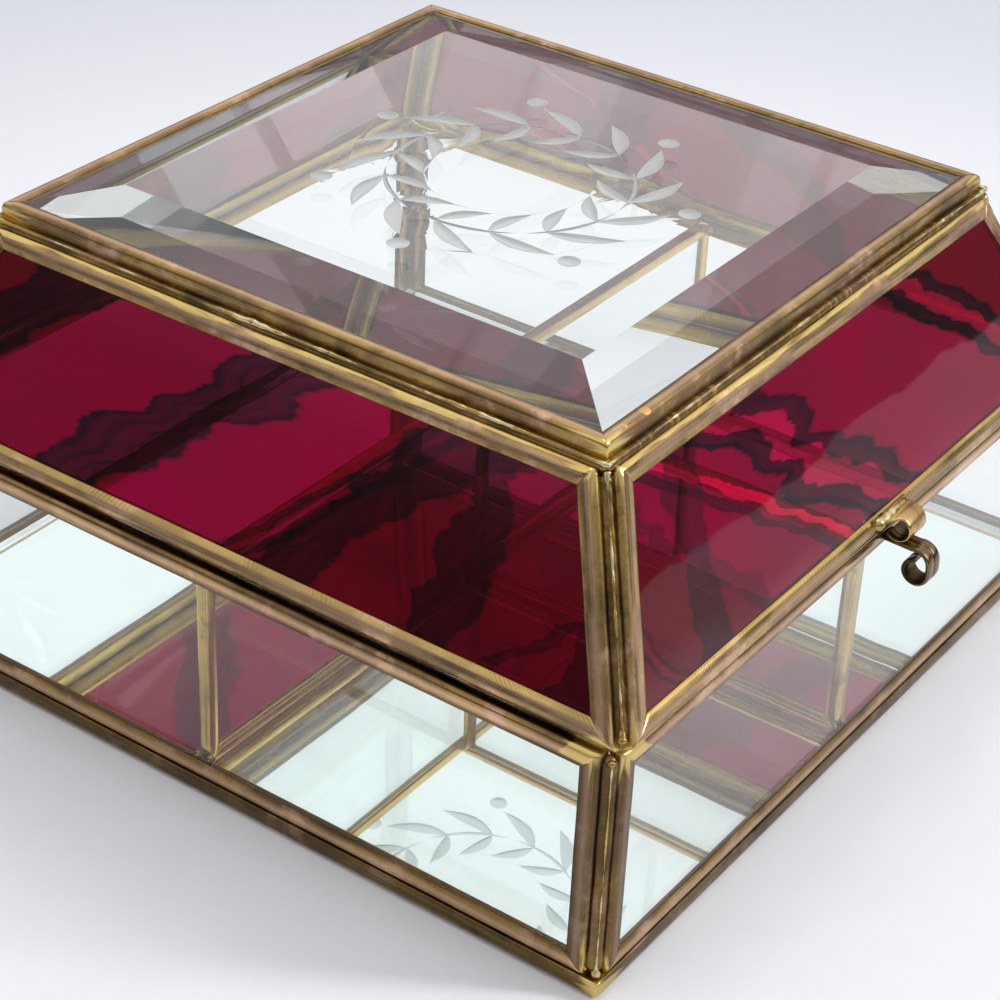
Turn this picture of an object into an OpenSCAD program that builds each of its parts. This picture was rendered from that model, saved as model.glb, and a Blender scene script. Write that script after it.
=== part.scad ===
// Glass casket box: a square box of clear panes, each bound in folded brass
// channel, with a mirror floor and two glass dividers, under a hinged hipped lid
// of four sloping ruby panes and one bevelled clear pane.
// Millimetres. +Z is up, the front with the latch faces -Y, and the origin is the
// middle of the base's footprint, on the surface that the box stands on.

/* [Base] */
// Outside width of the base, left to right
base_w = 153; // [130:1:180]
// Outside depth of the base, front to back
base_d = 154; // [130:1:180]
// Height of the base's rim above the table
base_h = 45; // [36:1:60]

/* [Lid] */
// Outside width of the lid at its lower edge
lid_w = 152; // [129:0.5:180]
// Outside depth of the lid at its lower edge, a little more than the base's
lid_d = 155; // [131:1:181]
// How far the lid sits forward of the base's middle
lid_forward = 1; // [0:0.1:1.5]
// Height of the lid, from its lower outer edge to the top of its top rail
lid_h = 36.4; // [30:0.2:44]
// Run of each sloping side in plan, from the lower edge in to the top rail
slope_run = 18; // [14:0.5:20]
// How far each sloping side stands out from the top rail, where they meet
step_out = 1.8; // [1.6:0.1:2.2]
// Clear gap between the rim and the lowest edge of the lid
lid_gap = 0.4; // [0.3:0.05:0.8]

/* [Brass channel] */
// Thickness of the brass sheet that the channels are folded from
sheet = 0.4; // [0.3:0.05:0.5]
// Thickness of the clear and ruby panes
glass_t = 2; // [1.8:0.1:2.4]
// Width of the channel's lips on the walls, the floor and the sloping sides
lip_w = 3.3; // [2.8:0.1:4]
// Outside radius of the channel's folds
fold_r = 0.6; // [0.45:0.05:0.7]

/* [Top pane] */
// Width of the top rail's lips
top_lip_w = 2.6; // [2.2:0.1:3.2]
// Height of the top rail
top_rail_t = 3.6; // [3.2:0.1:4]
// Distance from the top rail's outside to the flat middle of the bevelled pane
bevel_in = 14.2; // [10:0.2:18]
// How far the flat middle stands above the edge of the bevel
bevel_rise = 2.6; // [1.6:0.1:3]

/* [Floor] */
// Height of the floor's channel frame, on which the walls stand
floor_h = 3.4; // [3:0.1:4]
// Thickness of the loose mirror's glass
mirror_t = 2; // [1.8:0.1:3]
// Thickness of the silvering and paint on the mirror's back
silvering_t = 0.2; // [0.1:0.05:0.3]
// Gap left around the mirror
mirror_gap = 0.2; // [0.1:0.05:0.4]

/* [Dividers] */
// Place of the long divider, behind the middle
divider_y = 2; // [-10:0.5:10]
// Place of the short divider, left of the middle
divider_x = -1.5; // [-10:0.5:10]
// Outside thickness of the dividers' small channel
divider_t = 2.6; // [2.4:0.1:2.8]
// Width of the lips on the dividers' channel
divider_lip_w = 2.4; // [2:0.1:3]
// How far the dividers' top rail stays below the rim
divider_drop = 0.3; // [0.2:0.1:2]

/* [Latch] */
// Place of the latch, right of the middle
latch_x = 4; // [-8:0.5:8]
// Width of the lid's rolled tongue
tongue_w = 5.6; // [4:0.2:8]
// Outside radius of the tongue's roll
tongue_r = 2.5; // [2.2:0.1:2.8]
// Width of the base's curled hook
hook_w = 4; // [3:0.2:5]
// Thickness of the doubled strip that the hook is bent from
hook_t = 0.9; // [0.7:0.05:1]
// Reach of the hook in front of the base
hook_reach = 9; // [8:0.2:11]
// Outside radius of the hook's curl
curl_r = 2.6; // [2.4:0.1:2.8]

/* [Hinge] */
// Outside radius of the hinge tubes
tube_r = 1.2; // [1.1:0.05:1.25]
// Radius of the hinge wire
pin_r = 0.6; // [0.5:0.05:0.7]
// Running clearance around the wire
pin_gap = 0.05; // [0.03:0.01:0.08]
// Length of the lid's hinge tube
lid_tube_l = 40; // [30:1:50]
// Length of each of the base's two hinge tubes
base_tube_l = 15; // [10:1:20]
// Gap between neighbouring tubes
tube_gap = 0.3; // [0.2:0.05:0.5]

/* [Hidden] */

// colours seen in the photograph
brass = [0.60, 0.50, 0.32];
bright_solder = [0.80, 0.72, 0.46];
clear_glass = [0.88, 0.96, 0.96, 0.35];
ruby_glass = [0.42, 0.01, 0.12, 0.8];
mirror_colour = [0.80, 0.86, 0.86];
smooth = 48;                        // facets of a whole circle on the drawing

channel_t = glass_t + 2 * sheet;
top_w = lid_w - 2 * slope_run;
top_d = lid_d - 2 * slope_run;
slope_rise = lid_h - top_rail_t;    // height of the sloping frames
tilt = atan((slope_run - step_out) / slope_rise);   // lean of the sides, from upright
slope_l = slope_rise / cos(tilt);
slope_low_z = base_h + lid_gap + channel_t * sin(tilt);
slope_high_z = slope_low_z + slope_rise;
top_z = slope_high_z + top_rail_t;

wall_h = base_h - floor_h;
mirror_top_z = floor_h + silvering_t + mirror_t;
divider_h = base_h - divider_drop - mirror_top_z;
inside_w = base_w - 2 * channel_t;
inside_d = base_d - 2 * channel_t;
short_divider_l = inside_d / 2 + divider_y - divider_t / 2;

hinge_y = base_d / 2 + 0.9;
hinge_z = base_h + 1;
hinge_foot_h = 3;                   // height of the soldered foot below a tube
hinge_foot_t = 0.9;

// ---- folded channel ------------------------------------------------------

// Everything inward of the X axis, between an outer face at z = 0 and the inner
// face at -thickness, with both folds along that axis rounded.
module folded_side(thickness, span) {
    translate([-span, 0, 0])
        rotate([90, 0, 90])
            linear_extrude(height = 2 * span) {
                translate([fold_r, -thickness])
                    square([span, thickness]);
                translate([0, fold_r - thickness])
                    square([span, thickness - 2 * fold_r]);
                translate([fold_r, -fold_r])
                    circle(r = fold_r, $fn = smooth);
                translate([fold_r, fold_r - thickness])
                    circle(r = fold_r, $fn = smooth);
            }
}

// Channel folded round a pane that is 2*half_low wide at y = 0 and 2*half_high at
// y = height, with its outer face at z = 0: a slab with rounded edges, less the
// pane's slot and the window between the lips.
module channel_frame(half_low, half_high, height, thickness, lip) {
    lean = atan((half_low - half_high) / height);
    span = 2 * (half_low + height);
    difference() {
        intersection() {
            folded_side(thickness, span);
            translate([half_low, 0, 0])
                rotate([0, 0, 90 + lean])
                    folded_side(thickness, span);
            translate([0, height, 0])
                rotate([0, 0, 180])
                    folded_side(thickness, span);
            translate([-half_low, 0, 0])
                rotate([0, 0, 270 - lean])
                    folded_side(thickness, span);
        }
        framed_pane(half_low, half_high, height, thickness);
        translate([0, 0, -2 * thickness])
            linear_extrude(height = 3 * thickness)
                pane_outline(half_low, half_high, height, lip);
    }
}

// Outline of the same shape, drawn in by the given distance on every side.
module pane_outline(half_low, half_high, height, inset) {
    run = (half_low - half_high) / height;
    side_inset = inset * sqrt(1 + run * run);
    low = half_low - run * inset - side_inset;
    high = half_high + run * inset - side_inset;
    polygon([[-low, inset], [low, inset], [high, height - inset], [-high, height - inset]]);
}

// The pane inside that channel.
module framed_pane(half_low, half_high, height, thickness) {
    translate([0, 0, sheet - thickness])
        linear_extrude(height = thickness - 2 * sheet)
            pane_outline(half_low, half_high, height, sheet);
}

// ---- places of the sides -------------------------------------------------

// Puts a flat piece on side k, counted from the front by quarter turns, with its
// lower edge at the given reach and height, leaning in by the given angle.
module on_side(k, reach, z, lean) {
    rotate([0, 0, 90 * k])
        translate([0, -reach, z])
            rotate([90 - lean, 0, 0])
                children();
}

// The walls and the sloping sides meet at their inner edges, so each stops short
// of the corner by its own thickness, seen from above.
module on_wall(k)
    on_side(k, (k % 2 == 0 ? base_d : base_w) / 2, floor_h, 0)
        children();

module on_slope(k)
    translate([0, -lid_forward, 0])
        on_side(k, (k % 2 == 0 ? lid_d : lid_w) / 2, slope_low_z, tilt)
            children();

function wall_half(k) = (k % 2 == 0 ? base_w : base_d) / 2 - channel_t;
function slope_half_low(k) = (k % 2 == 0 ? lid_w : lid_d) / 2 - channel_t * cos(tilt);
function slope_half_high(k) = slope_half_low(k) - slope_run + step_out;

// ---- base ----------------------------------------------------------------

module floor_frame() {
    color(brass)
        translate([0, -base_d / 2, floor_h])
            channel_frame(base_w / 2, base_w / 2, base_d, floor_h, lip_w);
}

module floor_pane() {
    color(clear_glass)
        translate([0, -base_d / 2, floor_h])
            framed_pane(base_w / 2, base_w / 2, base_d, floor_h);
}

module mirror_plate(z, thickness) {
    w = inside_w - 2 * mirror_gap;
    d = inside_d - 2 * mirror_gap;
    translate([-w / 2, -d / 2, z])
        cube([w, d, thickness]);
}

module mirror_glass() {
    color(clear_glass)
        mirror_plate(floor_h + silvering_t, mirror_t);
}

module mirror_silvering() {
    color(mirror_colour)
        mirror_plate(floor_h, silvering_t);
}

module wall_pane(k) {
    color(clear_glass)
        on_wall(k)
            framed_pane(wall_half(k), wall_half(k), wall_h, channel_t);
}

module wall_frame(k) {
    color(brass)
        on_wall(k)
            channel_frame(wall_half(k), wall_half(k), wall_h, channel_t, lip_w);
}

module front_pane() wall_pane(0);
module right_pane() wall_pane(1);
module back_pane() wall_pane(2);
module left_pane() wall_pane(3);
module front_frame() wall_frame(0);
module right_frame() wall_frame(1);
module back_frame() wall_frame(2);
module left_frame() wall_frame(3);

// Solder drawn into the upright notch at each corner, a quarter round.
module corner_solder() {
    bead_r = 0.6;
    color(bright_solder)
        for (sx = [-1, 1], sy = [-1, 1])
            translate([sx * inside_w / 2, sy * inside_d / 2, floor_h])
                scale([sx, sy, 1])
                    quarter_bead(bead_r, wall_h);
}

module on_long_divider()
    translate([0, divider_y - divider_t / 2, mirror_top_z])
        rotate([90, 0, 0])
            children();

module on_short_divider()
    translate([divider_x - divider_t / 2, (short_divider_l - inside_d) / 2, mirror_top_z])
        rotate([0, 0, -90])
            rotate([90, 0, 0])
                children();

module long_divider_pane() {
    color(clear_glass)
        on_long_divider()
            framed_pane(inside_w / 2, inside_w / 2, divider_h, divider_t);
}

module long_divider_frame() {
    color(brass)
        on_long_divider()
            channel_frame(inside_w / 2, inside_w / 2, divider_h, divider_t, divider_lip_w);
}

module short_divider_pane() {
    half = short_divider_l / 2;
    color(clear_glass)
        on_short_divider()
            framed_pane(half, half, divider_h, divider_t);
}

module short_divider_frame() {
    half = short_divider_l / 2;
    color(brass)
        on_short_divider()
            channel_frame(half, half, divider_h, divider_t, divider_lip_w);
}

// A quarter-round bead in the corner between the +X and +Y directions.
module quarter_bead(bead_r, height) {
    intersection() {
        cylinder(r = bead_r, h = height, $fn = smooth);
        cube([bead_r, bead_r, height]);
    }
}

// Solder in the corners where the dividers' end posts meet the walls, low down and
// again just under the rim.
module divider_solder() {
    bead_r = 1.3;
    bead_h = 1.8;
    high_z = base_h - divider_drop - fold_r - bead_h;
    color(bright_solder)
        for (z = [mirror_top_z, high_z]) {
            for (sx = [-1, 1], sy = [-1, 1])
                translate([sx * inside_w / 2, divider_y + sy * divider_t / 2, z])
                    scale([-sx, sy, 1])
                        quarter_bead(bead_r, bead_h);
            for (sx = [-1, 1])
                translate([divider_x + sx * divider_t / 2, -inside_d / 2, z])
                    scale([sx, 1, 1])
                        quarter_bead(bead_r, bead_h);
        }
}

// The base's half of the latch: a strip that leaves the front rail, turns down and
// curls back on itself. Drawn from the side, x out from the box and y up.
module hook_outline() {
    root_x = base_d / 2;
    strip_y = base_h - 2.1;
    bend_r = 1.5;
    bend_x = root_x + hook_reach - bend_r;
    curl_x = root_x + hook_reach - curl_r;
    curl_y = strip_y + hook_t - bend_r - 3.1;
    translate([root_x, strip_y])
        square([bend_x - root_x, hook_t]);
    translate([bend_x, strip_y + hook_t - bend_r])
        intersection() {
            difference() {
                circle(r = bend_r, $fn = smooth);
                circle(r = bend_r - hook_t, $fn = smooth);
            }
            square(bend_r);
        }
    translate([root_x + hook_reach - hook_t, curl_y])
        square([hook_t, strip_y + hook_t - bend_r - curl_y]);
    translate([curl_x, curl_y])
        difference() {
            circle(r = curl_r, $fn = smooth);
            circle(r = curl_r - hook_t, $fn = smooth);
            square(curl_r);
        }
}

// Draws a side outline, x out to the front and y up, as a strip of the given width.
module front_strip(width)
    translate([latch_x + width / 2, 0, 0])
        rotate([90, 0, -90])
            linear_extrude(height = width)
                children();

module latch_hook() {
    color(brass)
        front_strip(hook_w)
            hook_outline();
}

// ---- hinge ---------------------------------------------------------------

module along_hinge(x)
    translate([x, hinge_y, hinge_z])
        rotate([0, 90, 0])
            children();

module base_hinge_tube(x) {
    color(brass)
        difference() {
            union() {
                along_hinge(x)
                    cylinder(r = tube_r, h = base_tube_l, $fn = smooth);
                translate([x, base_d / 2, hinge_z - hinge_foot_h])
                    cube([base_tube_l, hinge_foot_t, hinge_foot_h]);
            }
            along_hinge(x - 1)
                cylinder(r = pin_r + pin_gap, h = base_tube_l + 2, $fn = smooth);
        }
}

module hinge_tube_left()
    base_hinge_tube(-lid_tube_l / 2 - tube_gap - base_tube_l);

module hinge_tube_right()
    base_hinge_tube(lid_tube_l / 2 + tube_gap);

module hinge_pin() {
    half = lid_tube_l / 2 + tube_gap + base_tube_l;
    head_l = 0.6;
    color(brass) {
        along_hinge(-half - head_l)
            cylinder(r = pin_r + 0.35, h = head_l, $fn = smooth);
        along_hinge(-half)
            cylinder(r = pin_r, h = 2 * half, $fn = smooth);
        along_hinge(half)
            cylinder(r = pin_r + 0.35, h = head_l, $fn = smooth);
    }
}

// The lid's tube, with a foot soldered to the back sloping frame.
module lid_hinge_tube() {
    gap_back = hinge_y - (lid_d / 2 - lid_forward);
    gap_down = slope_low_z - hinge_z;
    foot_low = gap_back * sin(tilt) + gap_down * cos(tilt);
    color(brass)
        difference() {
            union() {
                along_hinge(-lid_tube_l / 2)
                    cylinder(r = tube_r, h = lid_tube_l, $fn = smooth);
                on_slope(2)
                    translate([-lid_tube_l / 2, -foot_low, 0])
                        cube([lid_tube_l, foot_low + hinge_foot_h, hinge_foot_t]);
            }
            along_hinge(-lid_tube_l / 2 - 1)
                cylinder(r = pin_r + pin_gap, h = lid_tube_l + 2, $fn = smooth);
        }
}

// ---- lid -----------------------------------------------------------------

module on_top()
    translate([0, -lid_forward - top_d / 2, top_z])
        children();

// Clear plate with a broad bevel cut round its upper face.
module top_pane() {
    plate_t = top_rail_t - 2 * sheet + bevel_rise;
    slope = atan(bevel_rise / (bevel_in - top_lip_w));
    color(clear_glass)
        difference() {
            on_top()
                translate([-top_w / 2 + sheet, sheet, sheet - top_rail_t])
                    cube([top_w - 2 * sheet, top_d - 2 * sheet, plate_t]);
            for (k = [0 : 3])
                translate([0, -lid_forward, 0])
                    rotate([0, 0, 90 * k])
                        translate([0, top_lip_w - (k % 2 == 0 ? top_d : top_w) / 2, top_z - sheet])
                            rotate([slope, 0, 0])
                                translate([-base_w, -2 * bevel_in, 0])
                                    cube([2 * base_w, 4 * bevel_in, 4 * bevel_rise]);
        }
}

module top_frame() {
    color(brass)
        on_top()
            channel_frame(top_w / 2, top_w / 2, top_d, top_rail_t, top_lip_w);
}

// A bar along +X whose 2D section is the child, mitred at 45 degrees at both ends.
// Its outer line is the X axis.
module mitred_bar(length, reach) {
    difference() {
        rotate([90, 0, 90])
            linear_extrude(height = length)
                children();
        rotate([0, 0, 45])
            translate([-4 * reach, 0, -4 * reach])
                cube([12 * reach, 8 * reach, 8 * reach]);
        translate([length, 0, 0])
            rotate([0, 0, -45])
                translate([-8 * reach, 0, -4 * reach])
                    cube([12 * reach, 8 * reach, 8 * reach]);
    }
}

// Solder that fills the step between the top rail and the sloping frames.
module top_solder() {
    web_run = channel_t * cos(tilt) - fold_r;
    climb = 0.75;
    section = [
        [fold_r, -fold_r * tan(tilt)],
        [web_run, -web_run * tan(tilt)],
        [web_run, 0],
        [step_out, 0],
        [step_out, climb],
        [0.25, 0.1]
    ];
    seam_w = top_w + 2 * step_out;
    seam_d = top_d + 2 * step_out;
    color(bright_solder)
        for (k = [0 : 3])
            translate([0, -lid_forward, slope_high_z])
                rotate([0, 0, 90 * k])
                    translate([-(k % 2 == 0 ? seam_w : seam_d) / 2, -(k % 2 == 0 ? seam_d : seam_w) / 2, 0])
                        mitred_bar(k % 2 == 0 ? seam_w : seam_d, channel_t)
                            polygon(section);
}

module ruby_pane(k) {
    color(ruby_glass)
        on_slope(k)
            framed_pane(slope_half_low(k), slope_half_high(k), slope_l, channel_t);
}

module ruby_frame(k) {
    color(brass)
        on_slope(k)
            channel_frame(slope_half_low(k), slope_half_high(k), slope_l, channel_t, lip_w);
}

module ruby_pane_front() ruby_pane(0);
module ruby_pane_right() ruby_pane(1);
module ruby_pane_back() ruby_pane(2);
module ruby_pane_left() ruby_pane(3);
module ruby_frame_front() ruby_frame(0);
module ruby_frame_right() ruby_frame(1);
module ruby_frame_back() ruby_frame(2);
module ruby_frame_left() ruby_frame(3);

// Solder in the notch along each hip: a sector of a round bead, about the line in
// which the two sides' inner faces meet. The notch is as wide as those faces turn,
// and the bead stops short of the solder round the top rail.
module hip_solder() {
    bead_r = 1.15;
    stop_short = 1;
    reach = 2 * bead_r;
    face_turn = acos(pow(sin(tilt), 2));
    hip_lean = atan(sqrt(2) * tan(tilt));
    hip_l = slope_rise / cos(hip_lean);
    inner_x = lid_w / 2 - channel_t * cos(tilt);
    inner_y = lid_d / 2 - channel_t * cos(tilt);
    notch = [
        [0, 0],
        [-reach * sin(face_turn / 2), -reach * cos(face_turn / 2)],
        [reach * sin(face_turn / 2), -reach * cos(face_turn / 2)]
    ];
    color(bright_solder)
        for (k = [0 : 3])
            translate([(k == 0 || k == 3 ? -inner_x : inner_x), (k < 2 ? -inner_y : inner_y) - lid_forward, 0])
                translate([0, 0, base_h + lid_gap])
                    rotate([0, 0, 90 * k - 45])
                        rotate([-hip_lean, 0, 0])
                            linear_extrude(height = hip_l - stop_short)
                                intersection() {
                                    circle(r = bead_r, $fn = smooth);
                                    polygon(notch);
                                }
}

// The lid's half of the latch: a tongue soldered to the front frame's lower rail,
// rolled out and down over the hook. Drawn like the hook, from the side.
module tongue_outline() {
    strip_t = 0.6;
    face_x = lid_d / 2 + lid_forward;
    roll_x = face_x + 1.2;
    roll_y = slope_low_z - 0.1;
    end_y = -1.3;
    difference() {
        translate([roll_x, roll_y])
            difference() {
                circle(r = tongue_r, $fn = smooth);
                circle(r = tongue_r - strip_t, $fn = smooth);
                translate([-2 * tongue_r, end_y - 2 * tongue_r])
                    square([4 * tongue_r, 2 * tongue_r]);
            }
        translate([face_x, slope_low_z])
            rotate(tilt)
                translate([-2 * tongue_r, -2 * tongue_r])
                    square([2 * tongue_r, 4 * tongue_r]);
    }
    translate([face_x, slope_low_z])
        rotate(tilt)
            translate([0, 1.2])
                square([strip_t, lip_w - 1.3]);
}

module latch_tongue() {
    color(brass)
        front_strip(tongue_w)
            tongue_outline();
}

floor_frame();
floor_pane();
mirror_glass();
mirror_silvering();
front_pane();
right_pane();
back_pane();
left_pane();
front_frame();
right_frame();
back_frame();
left_frame();
corner_solder();
long_divider_pane();
long_divider_frame();
short_divider_pane();
short_divider_frame();
divider_solder();
latch_hook();
hinge_tube_left();
hinge_tube_right();
hinge_pin();
top_pane();
top_frame();
top_solder();
ruby_pane_front();
ruby_pane_right();
ruby_pane_back();
ruby_pane_left();
ruby_frame_front();
ruby_frame_right();
ruby_frame_back();
ruby_frame_left();
hip_solder();
latch_tongue();
lid_hinge_tube();
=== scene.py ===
# %% [markdown]
# # A brass-bound glass casket
# This lesson dresses a small keepsake box: clear panes bound in folded brass
# channel, a mirror for a floor, and a hinged lid of four ruby panes round one thick
# bevelled pane. The construction comes ready made as a frame of named nodes. What
# is left for Blender is what the eye reads as glass, brass and solder.

# %% Load the frame
import math

import bmesh
import bpy
from mathutils import Matrix, Vector, noise


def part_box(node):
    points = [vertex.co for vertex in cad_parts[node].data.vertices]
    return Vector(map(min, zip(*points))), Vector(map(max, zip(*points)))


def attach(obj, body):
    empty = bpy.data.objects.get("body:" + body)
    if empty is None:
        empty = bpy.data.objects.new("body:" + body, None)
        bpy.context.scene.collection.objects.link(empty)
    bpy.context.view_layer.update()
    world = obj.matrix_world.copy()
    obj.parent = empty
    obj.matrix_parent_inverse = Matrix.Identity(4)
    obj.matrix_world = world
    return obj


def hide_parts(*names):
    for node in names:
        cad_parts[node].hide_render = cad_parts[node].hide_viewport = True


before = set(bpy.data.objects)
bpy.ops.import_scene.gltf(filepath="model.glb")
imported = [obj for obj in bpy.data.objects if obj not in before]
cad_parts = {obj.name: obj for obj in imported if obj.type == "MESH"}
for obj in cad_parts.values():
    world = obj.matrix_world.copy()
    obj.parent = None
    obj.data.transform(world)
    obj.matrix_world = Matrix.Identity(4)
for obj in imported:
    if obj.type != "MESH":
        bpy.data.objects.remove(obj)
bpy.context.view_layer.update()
scene = bpy.context.scene
MM = 0.001

# %% [markdown]
# ## The camera
# The photograph was taken from close by, looking down over the near corner, so its
# lines converge strongly. A camera is set by where it stands and by three angles:
# the way it faces, how far it looks down, and a small roll of the hand.

# %% Camera
def aimed(azimuth, elevation, roll):
    """Rotation of a camera that looks along azimuth, down by elevation, rolled."""
    a, e, t = (math.radians(v) for v in (azimuth, elevation, roll))
    ahead = Vector((-math.sin(a) * math.cos(e), math.cos(a) * math.cos(e), -math.sin(e)))
    side = ahead.cross(Vector((0, 0, 1))).normalized()
    above = side.cross(ahead)
    right = side * math.cos(t) + above * math.sin(t)
    up = above * math.cos(t) - side * math.sin(t)
    return Matrix((right, up, -ahead)).transposed().to_4x4()


CAMERA_AT = Vector((-319.8, -221.7, 267.8)) * MM
FOCAL_PIXELS = 2549         # focal length in pixels of a picture 1000 across
cam_data = bpy.data.cameras.new("camera")
cam_data.sensor_width = 36.0
cam_data.lens = FOCAL_PIXELS * cam_data.sensor_width / 1000
cam_data.clip_start = 0.01
camera = bpy.data.objects.new("camera", cam_data)
camera.matrix_world = Matrix.Translation(CAMERA_AT) @ aimed(-55.63, 32.43, 2.72)
scene.collection.objects.link(camera)
scene.camera = camera
print("lens", round(cam_data.lens, 1), "mm")

# %% [markdown]
# ## The table, the room and the lamps
# Glass and polished metal have no look of their own: they show the room. So the
# room is a plain pale one, bright overhead and duller low down, where a real table
# is surrounded by furniture and shade. The dull part gives the brass its dark
# lines. Panes in a row need many bounces before a ray leaves the box again.

# %% Colour helper and a shader builder
def rgb(red, green, blue):
    """A colour picked in a picture, 0 to 255, as the linear value that shaders use."""
    return tuple(((c / 255 + 0.055) / 1.055) ** 2.4 if c > 10 else c / 3294
                 for c in (red, green, blue)) + (1.0,)


class Shader:
    """Short way to place and join nodes in one node tree."""

    def __init__(self, tree):
        self.tree = tree

    def add(self, kind, _inputs=None, **settings):
        node = self.tree.nodes.new("ShaderNode" + kind)
        for name, value in settings.items():
            setattr(node, name, value)
        for name, value in (_inputs or {}).items():
            self.put(node.inputs[name], value)
        return node

    def put(self, socket, value):
        if isinstance(value, bpy.types.NodeSocket):
            self.tree.links.new(value, socket)
        else:
            socket.default_value = value

    def maths(self, operation, *values, clamp=False):
        node = self.add("Math", operation=operation, use_clamp=clamp)
        for socket, value in zip(node.inputs, values):
            self.put(socket, value)
        return node.outputs[0]

    def blend(self, factor, a, b, mode="MIX"):
        node = self.add("Mix", data_type="RGBA", blend_type=mode, clamp_factor=True)
        self.put(node.inputs[0], factor)
        self.put(node.inputs[6], a)
        self.put(node.inputs[7], b)
        return node.outputs[2]

    def band(self, value, low, high, to_low=0.0, to_high=1.0):
        """Eases value from to_low at low to to_high at high."""
        node = self.add("MapRange", {"Value": value, "From Min": low, "From Max": high,
                                     "To Min": to_low, "To Max": to_high},
                        interpolation_type="SMOOTHSTEP")
        return node.outputs["Result"]

    def noise(self, vector, scale, detail=3.0, rough=0.5, distortion=0.0):
        node = self.add("TexNoise", {"Vector": vector, "Scale": scale, "Detail": detail,
                                     "Roughness": rough, "Distortion": distortion})
        return node.outputs["Fac"]


# %% Room
room = bpy.data.worlds.new("pale room")
room.use_nodes = True
scene.world = room
room.node_tree.nodes.clear()
s = Shader(room.node_tree)
toward = s.add("TexCoord").outputs["Generated"]
parts = s.add("SeparateXYZ", {"Vector": toward})
height = s.band(parts.outputs["Z"], 0.19, 0.38)
beyond = s.add("VectorMath", {0: toward, 1: (0.82, 0.57, 0.0)}, operation="DOT_PRODUCT").outputs["Value"]
beyond = s.band(beyond, -0.75, 0.15)
dull = s.blend(beyond, rgb(66, 66, 70), rgb(92, 93, 98))
bright = s.blend(beyond, rgb(190, 190, 195), rgb(252, 253, 255))
light = s.add("Background", {"Color": s.blend(height, dull, bright), "Strength": 1.06})
s.add("OutputWorld", {"Surface": light.outputs[0]})
print("room: bright overhead, duller low down")

# %% Table top
def new_material(name):
    made = bpy.data.materials.new(name)
    made.use_nodes = True
    made.node_tree.nodes.clear()
    return made, Shader(made.node_tree)


def finish_surface(s, **sockets):
    """Ends a material in one Principled shader, with sockets given by name."""
    named = {key.replace("_", " "): value for key, value in sockets.items()}
    shader = s.add("BsdfPrincipled", named)
    s.add("OutputMaterial", {"Surface": shader.outputs[0]})
    return shader


def mesh_object(name, mesh, body=None, material=None):
    made = bpy.data.objects.new(name, mesh)
    scene.collection.objects.link(made)
    if material:
        mesh.materials.append(material)
    if body:
        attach(made, body)
    return made


def table_top(radius=6.0, rings=6, around=48):
    bm = bmesh.new()
    loops = []
    for ring in range(1, rings + 1):
        r = radius * (ring / rings) ** 2
        loops.append([bm.verts.new((r * math.cos(2 * math.pi * k / around),
                                    r * math.sin(2 * math.pi * k / around), -0.0002))
                      for k in range(around)])
    bm.faces.new(loops[0])
    for inner, outer in zip(loops, loops[1:]):
        for k in range(around):
            n = (k + 1) % around
            bm.faces.new((inner[k], outer[k], outer[n], inner[n]))
    mesh = bpy.data.meshes.new("table_top")
    bm.to_mesh(mesh)
    return mesh


paper, s = new_material("white table")
at = s.add("TexCoord").outputs["Object"]
fibre = s.noise(at, 90.0, 4.0)
away = s.add("VectorMath", {0: at}, operation="LENGTH").outputs["Value"]
near_colour = s.blend(fibre, rgb(239, 240, 244), rgb(244, 245, 248))
# Painted shade: the table darkens between 0.12 m and 0.36 m from the box, standing in for the light falling off.
finish_surface(s, Base_Color=s.blend(s.band(away, 0.12, 0.36), near_colour, rgb(209, 211, 216)), Roughness=0.9)
table = mesh_object("table_top", table_top(), material=paper)

# %% Lamps
def soft_lamp(name, at, size, watts, colour=(1, 1, 1), shape="RECTANGLE", size_y=None):
    data = bpy.data.lights.new(name, "AREA")
    data.shape = shape
    data.size = size
    if size_y:
        data.size_y = size_y
    data.energy = watts
    data.color = colour
    lamp = bpy.data.objects.new(name, data)
    lamp.location = at
    lamp.rotation_euler = (-Vector(at)).to_track_quat("-Z", "Y").to_euler()
    lamp.visible_transmission = False
    scene.collection.objects.link(lamp)
    return lamp


soft_lamp("overhead", (-0.1, 0.25, 1.3), 0.6, 1.0, (1.0, 0.94, 0.88), size_y=0.1)
soft_lamp("window_side", (-1.2, 0.5, 0.9), 0.1, 0.5, (1.0, 0.95, 0.9), size_y=0.7)
soft_lamp("front_fill", (0.5, -0.95, 0.8), 0.16, 7.8, (0.97, 0.98, 1.0), size_y=0.6)

scene.view_settings.view_transform = "Standard"
scene.cycles.max_bounces = 40
scene.cycles.transmission_bounces = 40
scene.cycles.glossy_bounces = 16
scene.cycles.transparent_max_bounces = 16

# %% [markdown]
# ## Brass came
# Came is thin brass strip rolled into a channel. Years of handling leave it gold
# where it is rubbed, brown and olive where it isn't, with fine lines along its
# length from the rollers. Those lines follow each bar, so they are read from the
# bar's own map: across it run hundreds of them, along it only a few.
# Along each bar's crest a painted highlight is laid, and painted shade darkens the edges of the lip.

# %% Shader group: drawn lines along a bar
def new_group(name, inputs, outputs):
    """A node group with named, typed sockets, and a Shader to fill it with."""
    group = bpy.data.node_groups.new(name, "ShaderNodeTree")
    for title, kind, default in inputs:
        socket = group.interface.new_socket(title, in_out="INPUT", socket_type=kind)
        if default is not None:
            socket.default_value = default
    for title, kind in outputs:
        group.interface.new_socket(title, in_out="OUTPUT", socket_type=kind)
    s = Shader(group)
    return group, s, s.tree.nodes.new("NodeGroupInput"), s.tree.nodes.new("NodeGroupOutput")


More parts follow.
